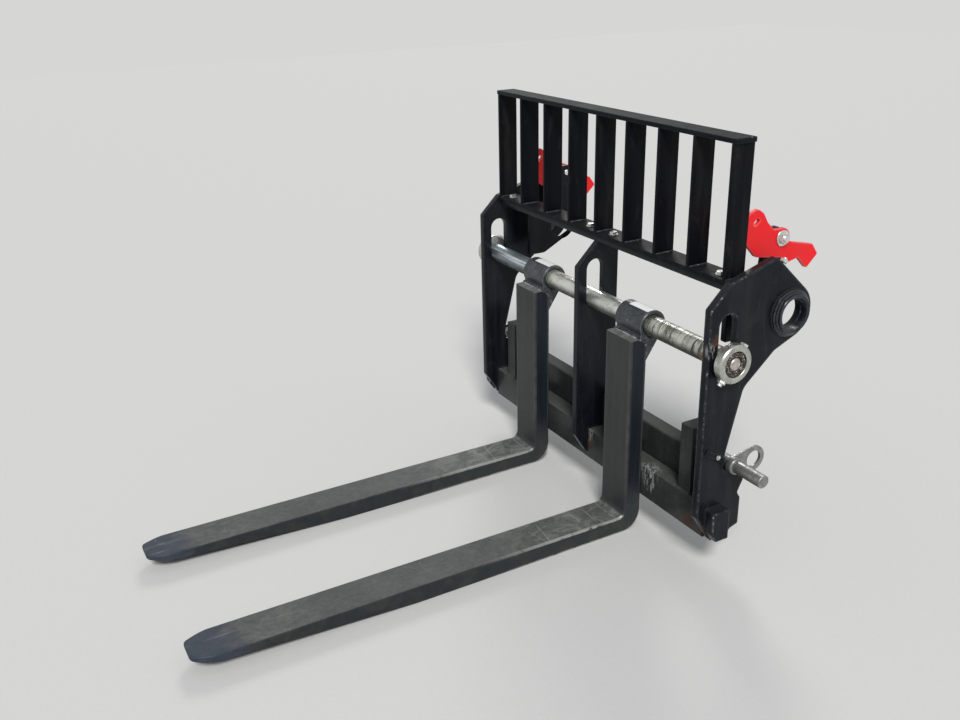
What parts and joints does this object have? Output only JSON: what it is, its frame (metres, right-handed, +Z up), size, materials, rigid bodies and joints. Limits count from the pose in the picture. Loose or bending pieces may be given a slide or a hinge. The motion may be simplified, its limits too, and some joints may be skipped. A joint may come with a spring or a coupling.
{
  "type": "fork carriage",
  "caption": "Floating fork carriage for a telescopic handler: forks hung on a sliding shaft, plate frame, barred load backrest, locking pins and latches.",
  "frame": {"origin": "axis of the coupling bores, midway between the side plates", "axes": "+X along the fork shaft, +Y from the forks' tips to the coupling, +Z up"},
  "size_m": [1.323, 1.605, 1.12],
  "materials": {
    "frame_paint": "gloss",
    "fork_coating": "satin",
    "shaft_steel": "worn",
    "zinc_plate": "satin",
    "latch_paint": "gloss",
    "bush_steel": "satin"
  },
  "bodies": {
    "carriage": {"backrest_bar_1": "frame_paint", "backrest_bar_2": "frame_paint", "backrest_bar_3": "frame_paint", "backrest_bar_4": "frame_paint", "backrest_bar_5": "frame_paint", "backrest_bar_6": "frame_paint", "backrest_bar_7": "frame_paint", "backrest_bar_8": "frame_paint", "backrest_bar_9": "frame_paint", "backrest_bolts": "zinc_plate", "backrest_foot": "frame_paint", "backrest_rail": "frame_paint", "centre_plate": "frame_paint", "coupler_boss_left": "frame_paint", "coupler_boss_right": "frame_paint", "cross_beam": "frame_paint", "guide_block_left": "frame_paint", "guide_block_right": "frame_paint", "inner_plate_left": "frame_paint", "inner_plate_right": "frame_paint", "latch_bolt_left": "zinc_plate", "latch_bolt_right": "zinc_plate", "pin_keeper_left": "zinc_plate", "pin_keeper_right": "zinc_plate", "rest_bar": "frame_paint", "side_plate_left": "frame_paint", "side_plate_right": "frame_paint", "top_plate": "frame_paint", "wear_foot_left": "frame_paint", "wear_foot_right": "frame_paint"},
    "shaft": {"fork_shaft": "shaft_steel", "shaft_collar_left": "zinc_plate", "shaft_collar_right": "zinc_plate", "collar_bolt_left": "zinc_plate", "collar_bolt_right": "zinc_plate"},
    "bush_left": {"fork_bush_left": "bush_steel"},
    "fork_left": {"fork_left": "fork_coating"},
    "lock_left": {"lock_pin_left": "zinc_plate"},
    "latch_left": {"latch_left": "latch_paint"},
    "bush_right": {"fork_bush_right": "bush_steel"},
    "fork_right": {"fork_right": "fork_coating"},
    "lock_right": {"lock_pin_right": "zinc_plate"},
    "latch_right": {"latch_right": "latch_paint"}
  },
  "joints": [
    {"name": "shaft_lift", "type": "slide", "parent": "carriage", "child": "shaft", "axis": [0, 0, 1], "range_m": [0, 0.087]},
    {"name": "fork_slide_left", "type": "slide", "parent": "shaft", "child": "bush_left", "axis": [1, 0, 0], "range_m": [-0.211, 0.184]},
    {"name": "fork_slide_right", "type": "slide", "parent": "shaft", "child": "bush_right", "axis": [1, 0, 0], "range_m": [-0.146, 0.249]},
    {"name": "fork_swing_left", "type": "hinge", "parent": "bush_left", "child": "fork_left", "pos_m": [-0.254, -0.191, -0.084], "axis": [-1, 0, 0], "range_deg": [0, 90]},
    {"name": "fork_swing_right", "type": "hinge", "parent": "bush_right", "child": "fork_right", "pos_m": [0.216, -0.191, -0.084], "axis": [-1, 0, 0], "range_deg": [0, 90]},
    {"name": "lock_pull_left", "type": "slide", "parent": "carriage", "child": "lock_left", "axis": [-1, 0, 0], "range_m": [0, 0.14]},
    {"name": "lock_pull_right", "type": "slide", "parent": "carriage", "child": "lock_right", "axis": [1, 0, 0], "range_m": [0, 0.14]},
    {"name": "latch_turn_left", "type": "hinge", "parent": "carriage", "child": "latch_left", "pos_m": [-0.479, 0.018, 0.168], "axis": [-1, 0, 0], "range_deg": [0, 35]},
    {"name": "latch_turn_right", "type": "hinge", "parent": "carriage", "child": "latch_right", "pos_m": [0.479, 0.018, 0.168], "axis": [-1, 0, 0], "range_deg": [0, 35]}
  ]
}
